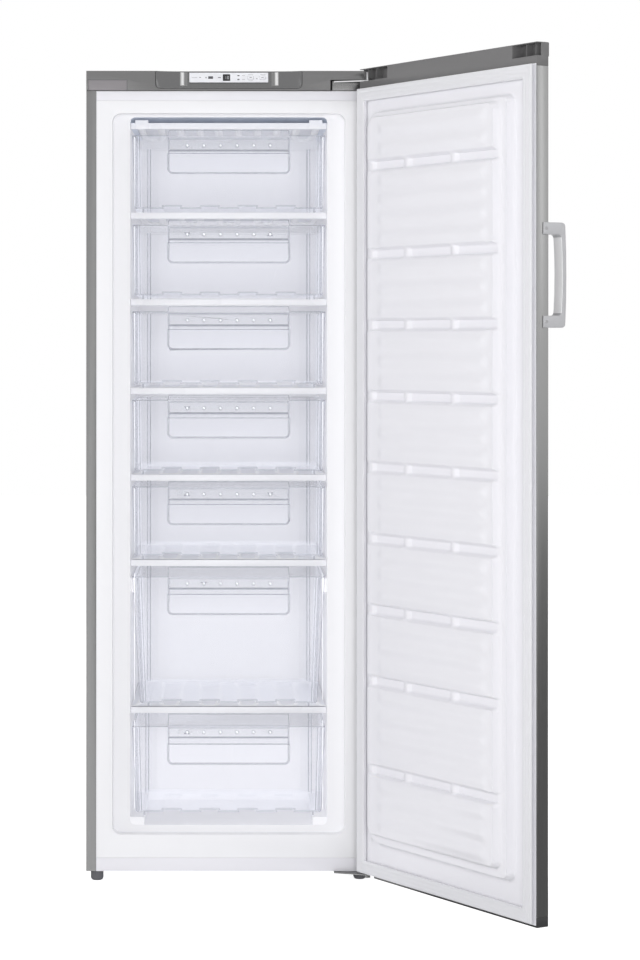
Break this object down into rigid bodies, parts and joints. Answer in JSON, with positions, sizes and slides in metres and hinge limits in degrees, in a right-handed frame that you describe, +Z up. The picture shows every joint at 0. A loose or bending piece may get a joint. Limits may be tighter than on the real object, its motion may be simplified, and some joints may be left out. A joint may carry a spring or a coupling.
{
  "type": "upright freezer",
  "caption": "Upright freezer with a grey steel case, an open hinged door with a formed liner and bow handle, and clear pull-out drawers on evaporator shelves.",
  "frame": {"origin": "centre of the sole of the front left foot, on the floor", "axes": "+X to the freezer's right as its front is faced, +Y to the wall behind it, +Z up"},
  "size_m": [0.9463, 1.1177, 1.706],
  "materials": {
    "silver_steel": "satin",
    "zinc_steel": "satin",
    "white_steel": "satin",
    "white_plastic": "satin",
    "grey_plastic": "satin",
    "dark_plastic": "matte",
    "silver_trim": "satin",
    "clear_plastic": "gloss",
    "foam": "matte",
    "enamel": "satin",
    "gasket": "matte",
    "black_paint": "satin",
    "copper": "satin",
    "smoked_window": "gloss"
  },
  "bodies": {
    "cabinet": {"outer_case": "silver_steel", "back_panel": "zinc_steel", "upper_front_rail": "white_steel", "lower_front_rail": "white_steel", "inner_liner": "white_plastic", "foam_insulation": "foam", "base_pan": "zinc_steel", "compressor_deck": "zinc_steel", "top_panel": "grey_plastic", "fascia_panel": "grey_plastic", "control_bezel": "silver_trim", "control_strip": "white_plastic", "display_window": "smoked_window", "hinge_hole_cap": "grey_plastic", "upper_hinge": "zinc_steel", "lower_hinge_plate": "zinc_steel", "lower_hinge_pin": "zinc_steel", "rear_foot_left": "dark_plastic", "rear_foot_right": "dark_plastic", "compressor": "black_paint", "relay_box": "dark_plastic", "discharge_tube": "copper", "suction_tube": "copper", "filter_drier": "copper", "condenser": "black_paint", "cord_gland": "dark_plastic", "evaporator_shelf_1": "enamel", "shelf_trim_1": "white_plastic", "evaporator_shelf_2": "enamel", "shelf_trim_2": "white_plastic", "evaporator_shelf_3": "enamel", "shelf_trim_3": "white_plastic", "evaporator_shelf_4": "enamel", "shelf_trim_4": "white_plastic", "evaporator_shelf_5": "enamel", "shelf_trim_5": "white_plastic", "evaporator_shelf_6": "enamel", "shelf_trim_6": "white_plastic", "evaporator_shelf_7": "enamel", "shelf_trim_7": "white_plastic"},
    "door": {"door_skin": "silver_steel", "door_liner": "white_plastic", "door_foam": "foam", "door_gasket": "gasket", "door_top_cap": "grey_plastic", "door_bottom_cap": "grey_plastic", "door_bush_upper": "dark_plastic", "door_bush_lower": "dark_plastic", "door_handle": "silver_trim"},
    "mode_key": {"mode_key": "white_plastic"},
    "set_key": {"set_key": "white_plastic"},
    "front_foot_left": {"front_foot_left": "dark_plastic"},
    "front_foot_right": {"front_foot_right": "dark_plastic"},
    "drawer_1": {"drawer_1": "clear_plastic"},
    "drawer_2": {"drawer_2": "clear_plastic"},
    "drawer_3": {"drawer_3": "clear_plastic"},
    "drawer_4": {"drawer_4": "clear_plastic"},
    "drawer_5": {"drawer_5": "clear_plastic"},
    "drawer_6": {"drawer_6": "clear_plastic"},
    "drawer_7": {"drawer_7": "clear_plastic"}
  },
  "joints": [
    {"name": "door_swing", "type": "hinge", "parent": "cabinet", "child": "door", "pos_m": [0.569, -0.0468, 0.85], "axis": [0, 0, 1], "range_deg": [-121.5, 10]},
    {"name": "drawer_1_slide", "type": "slide", "parent": "cabinet", "child": "drawer_1", "axis": [0, -1, 0], "range_m": [0, 0.3]},
    {"name": "drawer_2_slide", "type": "slide", "parent": "cabinet", "child": "drawer_2", "axis": [0, -1, 0], "range_m": [0, 0.3]},
    {"name": "drawer_3_slide", "type": "slide", "parent": "cabinet", "child": "drawer_3", "axis": [0, -1, 0], "range_m": [0, 0.3]},
    {"name": "drawer_4_slide", "type": "slide", "parent": "cabinet", "child": "drawer_4", "axis": [0, -1, 0], "range_m": [0, 0.3]},
    {"name": "drawer_5_slide", "type": "slide", "parent": "cabinet", "child": "drawer_5", "axis": [0, -1, 0], "range_m": [0, 0.3]},
    {"name": "drawer_6_slide", "type": "slide", "parent": "cabinet", "child": "drawer_6", "axis": [0, -1, 0], "range_m": [0, 0.3]},
    {"name": "drawer_7_slide", "type": "slide", "parent": "cabinet", "child": "drawer_7", "axis": [0, -1, 0], "range_m": [0, 0.2]},
    {"name": "mode_key_press", "type": "slide", "parent": "cabinet", "child": "mode_key", "axis": [0, 1, 0], "range_m": [0, 0.0008], "stiffness_N_per_m": 300},
    {"name": "set_key_press", "type": "slide", "parent": "cabinet", "child": "set_key", "axis": [0, 1, 0], "range_m": [0, 0.0008], "stiffness_N_per_m": 300},
    {"name": "front_foot_left_level", "type": "slide", "parent": "cabinet", "child": "front_foot_left", "axis": [0, 0, -1], "range_m": [0, 0.012]},
    {"name": "front_foot_right_level", "type": "slide", "parent": "cabinet", "child": "front_foot_right", "axis": [0, 0, -1], "range_m": [0, 0.012]}
  ]
}
